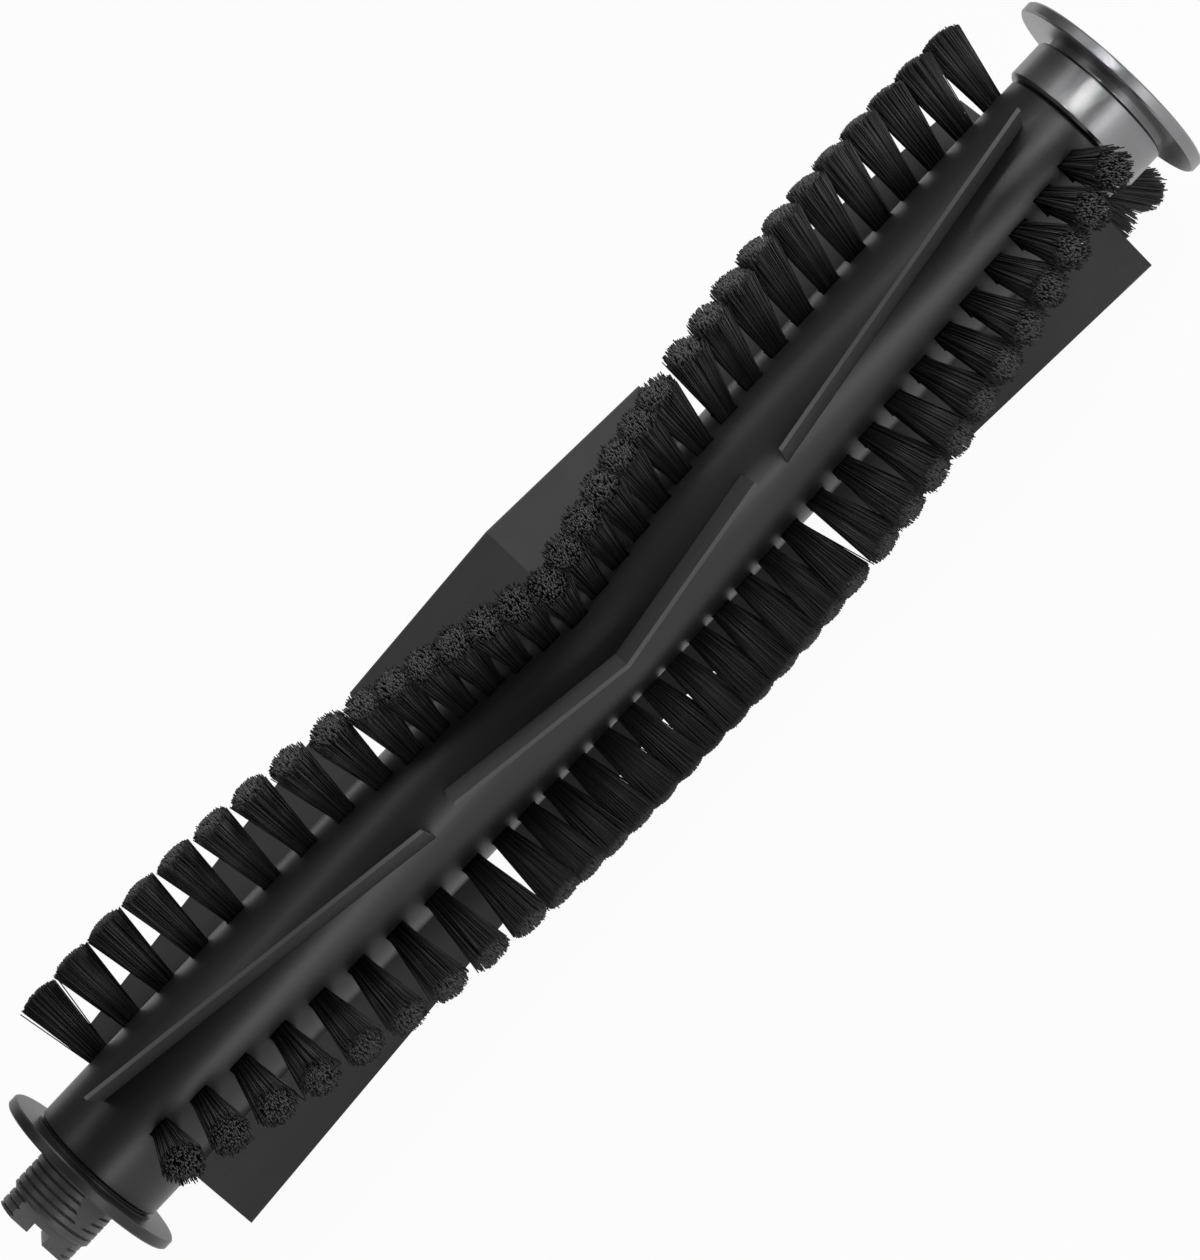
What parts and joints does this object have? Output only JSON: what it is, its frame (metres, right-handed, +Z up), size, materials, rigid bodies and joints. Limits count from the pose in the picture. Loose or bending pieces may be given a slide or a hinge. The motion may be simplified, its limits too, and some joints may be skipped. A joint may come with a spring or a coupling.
{
  "type": "robot vacuum roller brush",
  "caption": "Roller brush for a robot vacuum: round core with V-shaped rows of bristle tufts and rubber blades, a flanged threaded drive stub and a free-turning bearing cap.",
  "frame": {"origin": "on the roller's axis, at the outer face of the drive flange, where the drive stub starts", "axes": "+X along the roller's axis from the drive stub to the bearing cap, +Z up with the roller lying on the tips of its bristles"},
  "size_m": [0.1895, 0.0402, 0.0395],
  "materials": {
    "core_plastic": "semi-gloss black moulded plastic",
    "blade_rubber": "matt dark grey rubber",
    "bristle_nylon": "black nylon filament",
    "staple_wire": "flat drawn wire",
    "washer_plastic": "matt black",
    "stub_plastic": "matt dark grey moulded plastic",
    "steel": "ground steel",
    "cap_metal": "satin turned aluminium",
    "bush_bronze": "sintered bronze"
  },
  "bodies": {
    "roller": {"core": "core_plastic", "drive_flange": "core_plastic", "drive_spacer": "washer_plastic", "drive_stub": "stub_plastic", "axle_pin": "steel", "thrust_washer": "washer_plastic", "retaining_ring": "steel", "blade_1_drive": "blade_rubber", "blade_1_centre": "blade_rubber", "blade_1_cap": "blade_rubber", "blade_2_drive": "blade_rubber", "blade_2_centre": "blade_rubber", "blade_2_cap": "blade_rubber", "blade_3_drive": "blade_rubber", "blade_3_centre": "blade_rubber", "blade_3_cap": "blade_rubber", "bristle_row_1": "bristle_nylon", "bristle_row_2": "bristle_nylon", "bristle_row_3": "bristle_nylon", "staple_row_1": "staple_wire", "staple_row_2": "staple_wire", "staple_row_3": "staple_wire"},
    "cap_end": {"bearing_cap": "cap_metal", "bearing_bush": "bush_bronze"}
  },
  "joints": [
    {"name": "cap_spin", "type": "hinge", "parent": "roller", "child": "cap_end", "pos_m": [0.1721, 0, 0], "axis": [1, 0, 0], "continuous": true}
  ]
}
